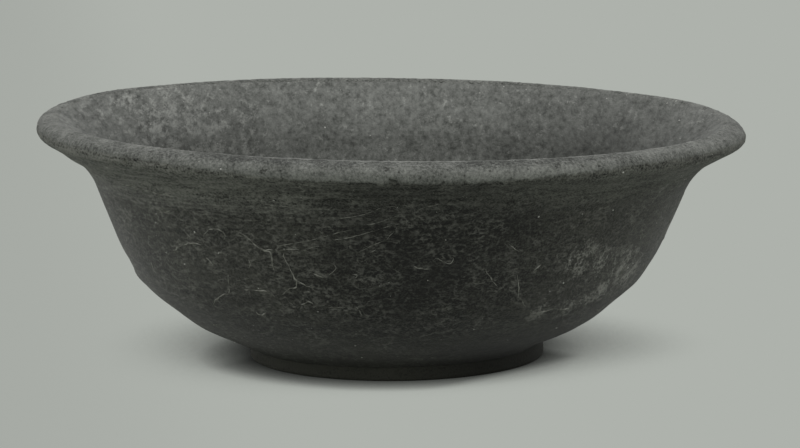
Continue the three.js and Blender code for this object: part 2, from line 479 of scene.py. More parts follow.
def turned_clay_tree():
    """Turns a section around the axis and gives it the unevenness of hand-made clay."""
    tree, sizes = new_tree("turned clay", [
        ("Turn Steps", "Int"), ("Closed", "Int"), ("Wobble", "Float"), ("Lumps", "Float"),
        ("Wheel Lines", "Float"), ("Pits", "Float"), ("Chip Depth", "Float"), ("Chips", "Object"),
        ("Roots", "Object"), ("Core Radius", "Float"), ("Core Height", "Float"), ("Clay", "Material")])
    position = add(tree, "GeometryNodeInputPosition")
    wall = turned_wall(tree, sizes)
    wall = soiled_beside_roots(tree, wall, sizes["Roots"], position)

    # Directions: out of the wall, and out from the core of the lip
    spot = add(tree, "ShaderNodeSeparateXYZ", {0: position}, out=None)
    level = add(tree, "ShaderNodeVectorMath", {0: position, 1: (1, 1, 0)}, operation="MULTIPLY")
    radius = add(tree, "ShaderNodeVectorMath", {0: level}, out="Value", operation="LENGTH")
    radial = add(tree, "ShaderNodeVectorMath", {0: level}, operation="NORMALIZE")
    tipped = add(tree, "ShaderNodeVectorMath", {0: radial, 1: (0, 0, DOWNWARD_TIP)}, operation="ADD")
    outwards = add(tree, "ShaderNodeVectorMath", {0: tipped}, operation="NORMALIZE")
    core = add(tree, "ShaderNodeVectorMath", {0: radial, "Scale": sizes["Core Radius"]}, operation="SCALE")
    core_up = add(tree, "ShaderNodeCombineXYZ", {2: sizes["Core Height"]})
    core = add(tree, "ShaderNodeVectorMath", {0: core, 1: core_up}, operation="ADD")
    from_core = add(tree, "ShaderNodeVectorMath", {0: position, 1: core}, operation="SUBTRACT")
    off_core = add(tree, "ShaderNodeVectorMath", {0: from_core}, operation="NORMALIZE")

    # Out of round: slow swings of the whole wall, dents and swellings
    swing = uneven_ways(tree, position, SWING_SIZE, 1.0)
    moved = add(tree, "ShaderNodeVectorMath", {0: swing, "Scale": sizes["Wobble"]}, operation="SCALE")
    forward = add(tree, "ShaderNodeMath", {0: spot["Y"], 1: -1.0}, operation="MULTIPLY")
    turn = add(tree, "ShaderNodeMath", {0: spot["X"], 1: forward}, operation="ARCTAN2")
    turn = add(tree, "ShaderNodeMath", {0: turn, 1: TURN_SHARE * MM}, operation="MULTIPLY")
    unrolled = add(tree, "ShaderNodeCombineXYZ", {0: radius, 1: turn, 2: spot["Z"]})
    moved = pushed(tree, moved, unrolled, radial)

    # Lumps under the fingers, lines left by the turning wheel, and chips
    lump = uneven(tree, position, LUMP_SIZE)
    rise = add(tree, "ShaderNodeMath", {0: radius, 1: spot["Z"]}, operation="ADD")
    rise = add(tree, "ShaderNodeCombineXYZ", {2: rise})
    drift = (WHEEL_LINE_DRIFT, WHEEL_LINE_DRIFT, 0)
    rise = add(tree, "ShaderNodeVectorMath", {0: level, 1: drift, 2: rise}, operation="MULTIPLY_ADD")
    line = uneven(tree, rise, WHEEL_LINE_SIZE)
    chip = chip_share(tree, sizes["Chips"], position)
    wall = add(tree, "GeometryNodeStoreNamedAttribute", {"Geometry": wall, "Name": "chipped", "Value": chip})
    hollow = add(tree, "ShaderNodeMath", {0: chip, 1: -1.0}, operation="MULTIPLY")
    lift = add(tree, "ShaderNodeMath", {0: lump, 1: sizes["Lumps"]}, operation="MULTIPLY")
    lift = add(tree, "ShaderNodeMath", {0: line, 1: sizes["Wheel Lines"], 2: lift}, operation="MULTIPLY_ADD")
    lift = add(tree, "ShaderNodeMath", {0: hollow, 1: sizes["Chip Depth"], 2: lift}, operation="MULTIPLY_ADD")
    lift = add(tree, "ShaderNodeVectorMath", {0: outwards, "Scale": lift}, operation="SCALE")
    moved = add(tree, "ShaderNodeVectorMath", {0: moved, 1: lift}, operation="ADD")

    # Pits in the worn lip
    worn = add(tree, "GeometryNodeInputNamedAttribute", {"Name": "worn"})
    pit = uneven(tree, position, PIT_SIZE)
    for share in (sizes["Pits"], worn):
        pit = add(tree, "ShaderNodeMath", {0: pit, 1: share}, operation="MULTIPLY")
    pit = add(tree, "ShaderNodeVectorMath", {0: off_core, "Scale": pit}, operation="SCALE")
    moved = add(tree, "ShaderNodeVectorMath", {0: moved, 1: pit}, operation="ADD")
    wall = add(tree, "GeometryNodeSetPosition", {"Geometry": wall, "Offset": moved})

    # The underside was scraped flat
    flat = add(tree, "ShaderNodeVectorMath", {0: position, 1: (-1, -1, 0)}, operation="MAXIMUM")
    wall = add(tree, "GeometryNodeSetPosition", {"Geometry": wall, "Position": flat})
    close_tree(tree, wall, sizes["Clay"])
    return tree


# Threads of lime and grains of grit that lie on the clay
MARKED_CLAY = ("Rim", "Upper Wall", "Lower Wall")
THREAD_STRAY_SIZE = 1.7
THREAD_BREAK_SIZE = 1.2
THREAD_BREAKS = (0.36, 0.6)  # noise at which a thread is thinnest, and at which it is whole
THREAD_TAPER = 0.4
THREAD_SIDES = 5
MARK_SPACING = 0.35
GRAINS_PER_SQUARE_METRE = 6000.0
GRAIN_SIZES = (0.08, 0.27)
GRAIN_RARITY = 3.0  # the higher, the fewer of the grains are large
GRAIN_FLATTEST = (0.6, 0.6, 0.6)
GRAIN_LONGEST = (1.3, 1.3, 0.9)
GRAIN_SEED = 5
GRAIN_SHAPE_SEED = 3


def joined_clay(tree, sizes):
    """The pieces of clay that carry marks, as one surface."""
    pieces = [add(tree, "GeometryNodeObjectInfo", {"Object": sizes[label]}, out="Geometry")
              for label in MARKED_CLAY]
    return add(tree, "GeometryNodeJoinGeometry", {0: pieces})


def pale_lines_tree():
    """Lays thin, broken threads along drawn lines on the outside of the wall."""
    tree, sizes = new_tree("pale lines", [(label, "Object") for label in MARKED_CLAY] + [
        ("Spacing", "Float"), ("Stray", "Float"), ("Half Width", "Float"), ("Thinnest", "Float"),
        ("Material", "Material")])
    position = add(tree, "GeometryNodeInputPosition")
    line = add(tree, "GeometryNodeMeshToCurve", {"Mesh": sizes["Geometry"]})
    line = add(tree, "GeometryNodeCurveSplineType", {"Curve": line}, spline_type="CATMULL_ROM")
    line = add(tree, "GeometryNodeResampleCurve", {"Curve": line, "Length": sizes["Spacing"]}, mode="LENGTH")
    stray = uneven_ways(tree, position, THREAD_STRAY_SIZE)
    stray = add(tree, "ShaderNodeVectorMath", {0: stray, "Scale": sizes["Stray"]}, operation="SCALE")
    line = add(tree, "GeometryNodeSetPosition", {"Geometry": line, "Offset": stray})
    surface = add(tree, "GeometryNodeProximity", {0: joined_clay(tree, sizes), "Sample Position": position})
    line = add(tree, "GeometryNodeSetPosition", {"Geometry": line, "Position": surface})

    # The thread thins out at both ends and breaks where the noise is low
    along = add(tree, "GeometryNodeSplineParameter", out="Factor")
    width = add(tree, "ShaderNodeMath", {0: along, 1: math.pi}, operation="MULTIPLY")
    width = add(tree, "ShaderNodeMath", {0: width}, operation="SINE")
    width = add(tree, "ShaderNodeMath", {0: width, 1: THREAD_TAPER}, operation="POWER")
    broken = add(tree, "ShaderNodeTexNoise", {
        "Vector": position, "Scale": scale_of(THREAD_BREAK_SIZE), "Detail": 1.0})
    thinnest, whole = THREAD_BREAKS
    broken = add(tree, "ShaderNodeMapRange", {
        "Value": broken, "From Min": thinnest, "From Max": whole, "To Min": sizes["Thinnest"]})
    own = add(tree, "GeometryNodeInputNamedAttribute", {"Name": "width"})
    for share in (broken, own, sizes["Half Width"]):
        width = add(tree, "ShaderNodeMath", {0: width, 1: share}, operation="MULTIPLY")
    profile = add(tree, "GeometryNodeCurvePrimitiveCircle", {"Resolution": THREAD_SIDES, "Radius": 1.0})
    thread = add(tree, "GeometryNodeCurveToMesh", {
        "Curve": line, "Profile Curve": profile, "Scale": width, "Fill Caps": True})
    close_tree(tree, thread, sizes["Material"])
    return tree


def grit_tree():
    """Scatters sunken grains over the outside of the clay."""
    tree, sizes = new_tree("grit", [(label, "Object") for label in MARKED_CLAY] + [
        ("Grains per Square Metre", "Float"), ("Smallest", "Float"), ("Largest", "Float"), ("Seed", "Int"),
        ("Material", "Material")])
    points = add(tree, "GeometryNodeDistributePointsOnFaces", {
        "Mesh": joined_clay(tree, sizes), "Density": sizes["Grains per Square Metre"],
        "Seed": sizes["Seed"]}, out=None)
    share = add(tree, "FunctionNodeRandomValue", {2: 0.0, 3: 1.0, "Seed": sizes["Seed"]}, out=1)
    share = add(tree, "ShaderNodeMath", {0: share, 1: GRAIN_RARITY}, operation="POWER")
    size = add(tree, "ShaderNodeMapRange", {
        "Value": share, "To Min": sizes["Smallest"], "To Max": sizes["Largest"]})
    stretch = add(tree, "FunctionNodeRandomValue", {
        0: GRAIN_FLATTEST, 1: GRAIN_LONGEST, "Seed": GRAIN_SHAPE_SEED}, data_type="FLOAT_VECTOR")
    size = add(tree, "ShaderNodeVectorMath", {0: stretch, "Scale": size}, operation="SCALE")
    grain = add(tree, "GeometryNodeMeshIcoSphere", {"Radius": 1.0, "Subdivisions": 1})
    grains = add(tree, "GeometryNodeInstanceOnPoints", {
        "Points": points["Points"], "Instance": grain, "Rotation": points["Rotation"], "Scale": size})
    close_tree(tree, grains, sizes["Material"])
    return tree


# Materials

# Sizes of the patterns
FIRING_CLOUD = 12.0
WIPED_STREAK = 1.1
FINE_GRIT = 0.5  # grit of 0.2 mm, drawn coarser so that it shows
COARSE_GRIT = 1.1
SOIL_CLUMP = 8.0
SPLASH_EDGES = [(3.2, 0.55), (1.3, 0.4)]  # size, and the most that their strokes cover
STROKE_BREAK = 1.1
LEVEL_LINE = 1.6
CRUST_GRAIN = 2.8
INSIDE_MOTTLE = 1.6
INSIDE_FLAKE = 2.4
LIP_CLOUD = 6.0
LIP_GRIT = 0.7
WORN_EDGE = 2.0
LIME_PATCH = 1.5
QUARTZ_TINT = 4.0

# How far the wheel and the wiping hand draw a pattern out: a smaller share makes it longer that way
WIPED_OUT = (0.12, 0.12, 1.0)
STROKED_OUT = (0.9, 0.45, 1.4)
LINED_OUT = (0.07, 0.07, 1.0)
INSIDE_DRAWN = (1.0, 0.4, 1.0)

# Places on the bowl: middles, reaches from far to near, and spans along which a change sets in
# Painted shade darkens the middle of the wall around this place
PAINTED_SHADE_PLACE = (12, -72, 39)
PAINTED_SHADE_REACH = (34, 10)
# The sides of the wall are painted paler, partly as painted light
THIN_SLIP_AND_LIGHT_ASIDE = (15, 55)
# The wall is painted paler towards the foot, as painted light
PAINTED_LIGHT_DOWN = (15, 6)
# Under the lip the wall is painted paler: partly bare clay, partly painted light
PAINTED_LIGHT_AND_BARE_UNDER_LIP = (46, 51)
PAINTED_LIGHT_AND_BARE_LEFT = (-10, -45)
# Low on the right the bowl is darkened as painted shade
LOW_SHADE_DOWN = (15, 9)
LOW_SHADE_RIGHT = (0, 22)
SOIL_LEFT = (50, -50)
LINES_UNDER_LIP = (42, 47)
LINES_LEFT = (10, -25)
FLAKES_PLACE = (-55, 45, 48)
FLAKES_REACH = (36, 10)
INSIDE_SHADE_DOWN = (64, 50)
INSIDE_SHADE_ASIDE = (15, 55)
LIP_FRONT = (-60, -82)
LIP_SLIP_AND_SHADE_ASIDE = (20, 60)
DUST_THINS_RIGHT = (20, 60)
# Patches of crust low on the right: where each is and how far it reaches
CRUST_PATCHES = [
    (46, -53, 32, 12.6), (51, -47, 31, 10.8), (57, -38, 28, 14.4), (59, -32, 25, 12.6),
    (51.5, -40, 23, 10.8), (36, -52, 20, 7.2), (43, -46, 19.5, 7.2), (47, -43, 21, 7.2),
]

# Colours
SLIP_BLACK = "#0C0D09"
SLIP_GREY = "#4A4B43"
BARE_CLAY_AND_PAINTED_LIGHT = "#74756F"
LOW_SHADE = "#0B0C0A"
DRIED_SOIL = "#84857D"
CRUST = "#94958D"
INSIDE_DARK = "#3E403C"
INSIDE_PALE = "#80827D"
INSIDE_FLAKES = "#A2A49E"
INSIDE_SHADE = "#1A1B18"
LIP_DARK = "#2C2E2A"
LIP_PALE = "#8C8E88"
LIP_PITS = "#2A2B26"
LIP_RUBBED_AND_HIGHLIGHT = "#A0A29C"
CHIP_SHADE = "#1C1D19"
THIN_LIME = "#5A5B54"
THICK_LIME = "#9C9D95"
GREY_QUARTZ = "#8A8B84"
WHITE_QUARTZ = "#D8D9D2"

# Tones of the patterns at which a colour is darkest and palest
SLIP_TONES = (0.75, 1.3)
INSIDE_TONES = (0.47, 0.93)
LIP_TONES = (0.53, 0.98)
LIME_TONES = (0.35, 0.65)
QUARTZ_TONES = (0.0, 1.0)

# Finish of the clay
CLAY_RELIEF = 0.15
CLAY_ROUGHNESS = 0.75
CLAY_GLOSS = 0.3
DUST_SHEEN = 0.2
DUST_SHEEN_RIGHT = 0.13
FOOT_SLIP_THIN = 0.42  # how much more of the grey shows on the foot than on the wall


def linear(code):
    """Linear colour of an sRGB hex value."""
    parts = [int(code[i:i + 2], 16) / 255 for i in (1, 3, 5)]
    return (*[c / 12.92 if c <= 0.04045 else ((c + 0.055) / 1.055) ** 2.4 for c in parts], 1.0)


def new_material(name):
    """An empty material, its tree, and the place on the piece that its patterns read."""
    material = bpy.data.materials.new(name)
    material.use_nodes = True
    tree = material.node_tree
    tree.nodes.clear()
    return material, tree, add(tree, "ShaderNodeTexCoord", out="Object")


def close_material(tree, finish):
    shader = add(tree, "ShaderNodeBsdfPrincipled", finish)
    add(tree, "ShaderNodeOutputMaterial", {"Surface": shader}, out=None)


def change_along(tree, place, axis, span, low=0.0, high=1.0):
    """A share that goes from low to high over a span of an axis."""
    along = add(tree, "ShaderNodeSeparateXYZ", {0: place}, out=axis)
    start, end = span
    return add(tree, "ShaderNodeMapRange", {
        "Value": along, "From Min": start * MM, "From Max": end * MM, "To Min": low, "To Max": high})


def change_aside(tree, place, span, low=0.0, high=1.0):
    """A share that goes from low to high over a span to the left and to the right of the middle."""
    mirrored = add(tree, "ShaderNodeVectorMath", {0: place}, operation="ABSOLUTE")
    return change_along(tree, mirrored, "X", span, low, high)


def nearness(tree, place, middle, reach, most=1.0):
    """A share that goes from nothing, far from a middle, to the most, close to it."""
    far, close = reach
    middle = Vector(middle) * MM
    away = add(tree, "ShaderNodeVectorMath", {0: place, 1: middle}, out="Value", operation="DISTANCE")
    return add(tree, "ShaderNodeMapRange", {
        "Value": away, "From Min": far * MM, "From Max": close * MM, "To Max": most})


def thin_lines(tree, place, size, detail, core, edge):
    """Lines where noise crosses its middle, full within the core and gone at the edge."""
    line = uneven(tree, place, size, detail)
    line = add(tree, "ShaderNodeMath", {0: line}, operation="ABSOLUTE")
    return add(tree, "ShaderNodeMapRange", {
        "Value": line, "From Min": core, "From Max": edge, "To Min": 1.0, "To Max": 0.0})


def toned(tree, tone, tones, dark, pale):
    """Colour that goes from dark to pale between two tones."""
    darkest, palest = tones
    share = add(tree, "ShaderNodeMapRange", {"Value": tone, "From Min": darkest, "From Max": palest})
    return add(tree, "ShaderNodeMix", {0: share, 6: linear(dark), 7: linear(pale)}, out=2, data_type="RGBA")


def laid_on(tree, colour, coat, *shares):
    """A colour with a coat of another on it, which covers as much as all the shares multiplied."""
    cover = shares[0]
    for share in shares[1:]:
        cover = add(tree, "ShaderNodeMath", {0: cover, 1: share}, operation="MULTIPLY")
    return add(tree, "ShaderNodeMix", {0: cover, 6: colour, 7: linear(coat)}, out=2, data_type="RGBA")


def slip_face(tree, place, thin_slip_and_light):
    """Colour and height of the slip: smoked black and wiped, with painted shade in its middle, and paler at
    the sides, under the lip and low down, partly as painted light.
    """
    cloud = add(tree, "ShaderNodeTexNoise", {
        "Vector": place, "Scale": scale_of(FIRING_CLOUD), "Detail": 5.0, "Roughness": 0.65})
    wiped = add(tree, "ShaderNodeVectorMath", {0: place, 1: WIPED_OUT}, operation="MULTIPLY")
    streak = add(tree, "ShaderNodeTexNoise", {
        "Vector": wiped, "Scale": scale_of(WIPED_STREAK), "Detail": 3.0})
    grain = add(tree, "ShaderNodeTexNoise", {
        "Vector": place, "Scale": scale_of(FINE_GRIT), "Detail": 2.0, "Roughness": 0.6})
    height = add(tree, "ShaderNodeMath", {0: streak, 1: 0.5, 2: grain}, operation="MULTIPLY_ADD")
    tone = add(tree, "ShaderNodeMath", {0: cloud, 1: 0.28, 2: height}, operation="MULTIPLY_ADD")

    # Coarser grit shows at the sides, where the slip is thinner, and the sides are painted paler: painted
    # light, as where light falls on the wall's sides
    side = change_aside(tree, place, THIN_SLIP_AND_LIGHT_ASIDE)
    coarse = add(tree, "ShaderNodeTexNoise", {
        "Vector": place, "Scale": scale_of(COARSE_GRIT), "Detail": 2.0, "Roughness": 0.8})
    coarse = add(tree, "ShaderNodeMath", {0: coarse, 1: 0.6, 2: -0.22}, operation="MULTIPLY_ADD")
    tone = add(tree, "ShaderNodeMath", {0: side, 1: coarse, 2: tone}, operation="MULTIPLY_ADD")

    # Painted shade: the middle of the wall, which faces the dim front, is darkened
    painted_shade = nearness(tree, place, PAINTED_SHADE_PLACE, PAINTED_SHADE_REACH, most=-0.16)
    for change in (painted_shade, thin_slip_and_light):
        tone = add(tree, "ShaderNodeMath", {0: tone, 1: change}, operation="ADD")
    colour = toned(tree, tone, SLIP_TONES, SLIP_BLACK, SLIP_GREY)

    # Paler under the lip, most at the sides and on the left: partly clay showing through, partly painted light
    # in the lip's shade
    bare = add(tree, "ShaderNodeMath", {0: side, 1: 0.3, 2: 0.24}, operation="MULTIPLY_ADD")
    left = change_along(tree, place, "X", PAINTED_LIGHT_AND_BARE_LEFT, high=0.4)
    bare = add(tree, "ShaderNodeMath", {0: bare, 1: left}, operation="ADD")
    under = change_along(tree, place, "Z", PAINTED_LIGHT_AND_BARE_UNDER_LIP)
    wiped_off = add(tree, "ShaderNodeMapRange", {"Value": height, "From Min": 0.61, "From Max": 0.89})
    return laid_on(tree, colour, BARE_CLAY_AND_PAINTED_LIGHT, bare, under, wiped_off), height


def painted_low_shade_over(tree, place, colour):
    """Painted shade that darkens the bowl low down on its right, near the paper."""
    low = change_along(tree, place, "Z", LOW_SHADE_DOWN)
    right = change_along(tree, place, "X", LOW_SHADE_RIGHT, high=0.65)
    return laid_on(tree, colour, LOW_SHADE, low, right)


def outside_face(tree, place):
    """Colour and height of the outside: slip with soil left on it, in strokes, level lines and crust."""
    # Painted light: the wall is painted paler towards the foot, where little light reaches under the bowl
    thin_slip_and_light = change_along(tree, place, "Z", PAINTED_LIGHT_DOWN, high=0.3)
    colour, height = slip_face(tree, place, thin_slip_and_light)

    # Soil lies in clumps: most beside the roots and on the left
    clump = add(tree, "ShaderNodeTexNoise", {
        "Vector": place, "Scale": scale_of(SOIL_CLUMP), "Detail": 3.0, "Roughness": 0.6})
    soiled = add(tree, "ShaderNodeAttribute", out="Fac", attribute_name="soiled")
    clump = add(tree, "ShaderNodeMath", {0: soiled, 1: 0.15, 2: clump}, operation="MULTIPLY_ADD")
    left = change_along(tree, place, "X", SOIL_LEFT, low=-0.04, high=0.1)
    clump = add(tree, "ShaderNodeMath", {0: clump, 1: left}, operation="ADD")

    # Strokes are the dried edges of splashes, drawn out level by the wiping and broken off
    level = add(tree, "ShaderNodeVectorMath", {0: place, 1: STROKED_OUT}, operation="MULTIPLY")
    broken = add(tree, "ShaderNodeTexNoise", {
        "Vector": level, "Scale": scale_of(STROKE_BREAK), "Detail": 2.0})
    broken = add(tree, "ShaderNodeMapRange", {"Value": broken, "From Min": 0.35, "From Max": 0.6})
    for size, most in SPLASH_EDGES:
        stroke = thin_lines(tree, level, size, detail=3.0, core=0.01, edge=0.06)
        cover = add(tree, "ShaderNodeMapRange", {
            "Value": clump, "From Min": 0.4, "From Max": 0.75, "To Min": 0.2 * most, "To Max": 0.85 * most})
        colour = laid_on(tree, colour, DRIED_SOIL, stroke, cover, broken)

    # Long level lines under the lip, most on the left
    lined = add(tree, "ShaderNodeVectorMath", {0: place, 1: LINED_OUT}, operation="MULTIPLY")
    line = thin_lines(tree, lined, LEVEL_LINE, detail=1.0, core=0.0, edge=0.08)
    high = change_along(tree, place, "Z", LINES_UNDER_LIP)
    cover = change_along(tree, place, "X", LINES_LEFT, low=0.1, high=0.45)
    colour = laid_on(tree, colour, DRIED_SOIL, line, high, cover, broken)

    # Crust lies in grains, in a few patches
    thick = 0.0
    for x, y, z, reach in CRUST_PATCHES:
        near = nearness(tree, place, (x, y, z), (reach, 0))
        thick = add(tree, "ShaderNodeMath", {0: thick, 1: near}, operation="MAXIMUM")
    crust = add(tree, "ShaderNodeTexNoise", {
        "Vector": place, "Scale": scale_of(CRUST_GRAIN), "Detail": 3.0, "Roughness": 1.0})
    crust = add(tree, "ShaderNodeMath", {0: thick, 1: 0.25, 2: crust}, operation="MULTIPLY_ADD")
    crust = add(tree, "ShaderNodeMapRange", {
        "Value": crust, "From Min": 0.66, "From Max": 0.8, "To Max": 0.8})
    colour = laid_on(tree, colour, CRUST, crust, thick)
    return painted_low_shade_over(tree, place, colour), height


def inside_face(tree, place):
    """Colour and height of the inside: bare grey clay under flakes of paler crust, thickest on the left."""
    cloud = add(tree, "ShaderNodeTexNoise", {
        "Vector": place, "Scale": scale_of(FIRING_CLOUD), "Detail": 4.0, "Roughness": 0.6})
    drawn = add(tree, "ShaderNodeVectorMath", {0: place, 1: INSIDE_DRAWN}, operation="MULTIPLY")
    mottle = add(tree, "ShaderNodeTexNoise", {
        "Vector": drawn, "Scale": scale_of(INSIDE_MOTTLE), "Detail": 3.0, "Roughness": 0.8})
    tone = add(tree, "ShaderNodeMath", {0: cloud, 1: 0.4, 2: mottle}, operation="MULTIPLY_ADD")
    colour = toned(tree, tone, INSIDE_TONES, INSIDE_DARK, INSIDE_PALE)
    near = nearness(tree, place, FLAKES_PLACE, FLAKES_REACH, most=0.14)
    flake = add(tree, "ShaderNodeTexNoise", {
        "Vector": drawn, "Scale": scale_of(INSIDE_FLAKE), "Detail": 4.0, "Roughness": 0.8})
    flake = add(tree, "ShaderNodeMath", {0: flake, 1: near}, operation="ADD")
    flake = add(tree, "ShaderNodeMapRange", {
        "Value": flake, "From Min": 0.58, "From Max": 0.74, "To Max": 0.75})
    colour = laid_on(tree, colour, INSIDE_FLAKES, flake)
    height = add(tree, "ShaderNodeMath", {0: flake, 1: 0.8, 2: mottle}, operation="MULTIPLY_ADD")

    # Painted shade: the inside darkens with depth, most at the sides
    deep = change_along(tree, place, "Z", INSIDE_SHADE_DOWN)
    side = change_aside(tree, place, INSIDE_SHADE_ASIDE, low=0.03, high=0.46)
    return laid_on(tree, colour, INSIDE_SHADE, deep, side), height


def lip_face(tree, place):
    """Colour and height of the lip: slip rubbed off by handling, so that the gritty clay shows."""
    cloud = add(tree, "ShaderNodeTexNoise", {"Vector": place, "Scale": scale_of(LIP_CLOUD), "Detail": 3.0})
    grain = add(tree, "ShaderNodeTexNoise", {
        "Vector": place, "Scale": scale_of(LIP_GRIT), "Detail": 4.0, "Roughness": 0.8})
    tone = add(tree, "ShaderNodeMath", {0: cloud, 1: 0.4, 2: grain}, operation="MULTIPLY_ADD")

    # Painted light and shade at the front: the nose is painted paler and the ridge darker
    handled = add(tree, "ShaderNodeAttribute", out="Fac", attribute_name="handled")
    handled = add(tree, "ShaderNodeMath", {0: handled, 1: 0.62}, operation="SUBTRACT")
    front = change_along(tree, place, "Y", LIP_FRONT, high=0.2)
    tone = add(tree, "ShaderNodeMath", {0: handled, 1: front, 2: tone}, operation="MULTIPLY_ADD")
    colour = toned(tree, tone, LIP_TONES, LIP_DARK, LIP_PALE)

    # Pits hold dirt, and at the front the ridge is rubbed bright in places: partly wear, partly a painted
    # highlight on the ridge
    pit = add(tree, "ShaderNodeTexNoise", {"Vector": place, "Scale": scale_of(PIT_SIZE), "Detail": 2.0})
    pit = add(tree, "ShaderNodeMapRange", {"Value": pit, "From Min": 0.33, "From Max": 0.28, "To Max": 0.7})
    colour = laid_on(tree, colour, LIP_PITS, pit)
    rubbed = add(tree, "ShaderNodeAttribute", out="Fac", attribute_name="rubbed")
    most = add(tree, "ShaderNodeMapRange", {
        "Value": cloud, "From Min": 0.4, "From Max": 0.6, "To Min": 1.0, "To Max": 3.0})
    colour = laid_on(tree, colour, LIP_RUBBED_AND_HIGHLIGHT, rubbed, most, front)

    # Chips are painted dark: painted shade in their hollows
    chipped = add(tree, "ShaderNodeAttribute", out="Fac", attribute_name="chipped")
    chipped = add(tree, "ShaderNodeMath", {0: grain, 1: 2.2, 2: chipped}, operation="MULTIPLY_ADD")
    chipped = add(tree, "ShaderNodeMapRange", {
        "Value": chipped, "From Min": 1.75, "From Max": 2.1, "To Max": 0.9})
    colour = laid_on(tree, colour, CHIP_SHADE, chipped)
    height = add(tree, "ShaderNodeMath", {0: pit, 1: -1.5, 2: grain}, operation="MULTIPLY_ADD")
    return colour, height


def lay_over(tree, share, under, over):
    """One face over another: both their colour and their height."""
    colour = add(tree, "ShaderNodeMix", {0: share, 6: under[0], 7: over[0]}, out=2, data_type="RGBA")
    height = add(tree, "ShaderNodeMix", {0: share, 2: under[1], 3: over[1]})
    return colour, height


def wall_face(tree, place):
    """The outside's face, and the inside's where the clay is inside the bowl."""
    inside = add(tree, "ShaderNodeAttribute", out="Fac", attribute_name="inside")
    return lay_over(tree, inside, outside_face(tree, place), inside_face(tree, place))


def close_clay(tree, place, face):
    """Low-fired clay: dull, with a little sheen where dust has settled, less of it on the right."""
    colour, height = face
    relief = add(tree, "ShaderNodeBump", {"Height": height, "Distance": CLAY_RELIEF * MM, "Strength": 1.0})
    dust = add(tree, "ShaderNodeAttribute", out="Fac", attribute_name="dusty")
    sheen = change_along(tree, place, "X", DUST_THINS_RIGHT, DUST_SHEEN, DUST_SHEEN_RIGHT)
    dust = add(tree, "ShaderNodeMath", {0: dust, 1: sheen}, operation="MULTIPLY")
    close_material(tree, {
        "Base Color": colour, "Normal": relief, "Roughness": CLAY_ROUGHNESS, "Specular IOR Level": CLAY_GLOSS,
        "Sheen Weight": dust, "Sheen Roughness": 0.5})


def wall_clay_material():
    """Smoked slip, wiped on the wheel: to the eye a dull, streaky black, and a mottled bare grey inside."""
    material, tree, place = new_material("dark-fired earthenware, slipped and wiped")
    close_clay(tree, place, wall_face(tree, place))
    return material


def lip_clay_material():
    """The same clay, rubbed by hands: to the eye a paler, gritty band that ends raggedly in the slip."""
    material, tree, place = new_material("dark-fired earthenware, rubbed bare")
    on_lip = add(tree, "ShaderNodeAttribute", out="Fac", attribute_name="worn")
    ragged = add(tree, "ShaderNodeTexNoise", {
        "Vector": place, "Scale": scale_of(WORN_EDGE), "Detail": 4.0, "Roughness": 0.7})
    worn = add(tree, "ShaderNodeMath", {0: ragged, 1: 0.5, 2: on_lip}, operation="MULTIPLY_ADD")
    # Less of the lip is worn pale at the sides than at the front: partly slip that stayed, partly painted
    # shade on the lower nose at the sides
    side = change_aside(tree, place, LIP_SLIP_AND_SHADE_ASIDE, low=0.03, high=0.62)
    worn = add(tree, "ShaderNodeMath", {0: worn, 1: side}, operation="SUBTRACT")
    worn = add(tree, "ShaderNodeMapRange", {"Value": worn, "From Min": 0.4, "From Max": 0.6})
    on_lip = add(tree, "ShaderNodeMapRange", {"Value": on_lip, "From Max": 0.12})
    worn = add(tree, "ShaderNodeMath", {0: worn, 1: on_lip}, operation="MULTIPLY")
    close_clay(tree, place, lay_over(tree, worn, wall_face(tree, place), lip_face(tree, place)))
    return material


def foot_clay_material():
    """The same clay, scraped so that little slip is left: to the eye a plain dark grey, with painted shade on
    the right.
    """
    material, tree, place = new_material("dark-fired earthenware, scraped")
    colour, height = slip_face(tree, place, FOOT_SLIP_THIN)
    close_clay(tree, place, (painted_low_shade_over(tree, place, colour), height))
    return material


def lime_material():
    """Thin lime that roots leave on buried clay: chalky, with clay showing through."""
    material, tree, place = new_material("lime crust, deposited by roots")
    cover = add(tree, "ShaderNodeTexNoise", {"Vector": place, "Scale": scale_of(LIME_PATCH), "Detail": 2.0})
    colour = toned(tree, cover, LIME_TONES, THIN_LIME, THICK_LIME)
    close_material(tree, {"Base Color": colour, "Roughness": 0.9, "Specular IOR Level": 0.2})
    return material


def grit_material():
    """Quartz that was crushed into the clay: to the eye pale specks, some brighter than others."""
    material, tree, place = new_material("quartz grit, broken")
    tint = add(tree, "ShaderNodeTexNoise", {"Vector": place, "Scale": scale_of(QUARTZ_TINT)})
    colour = toned(tree, tint, QUARTZ_TONES, GREY_QUARTZ, WHITE_QUARTZ)
    close_material(tree, {"Base Color": colour, "Roughness": 0.6})
    return material


# Marks on the clay

# Chips knocked off the lip, as azimuth and height
LIP_CHIPS = [
    (0.4, 55.2), (1.0, 55.0), (11.0, 54.8), (-44.2, 55.4), (-43.4, 55.0), (27.0, 54.8),
    (-100.0, 55.5), (118.0, 55.0), (160.0, 55.2),
]
CHIP_SUNK = 0.3  # middle of a chip inside the tip of the lip

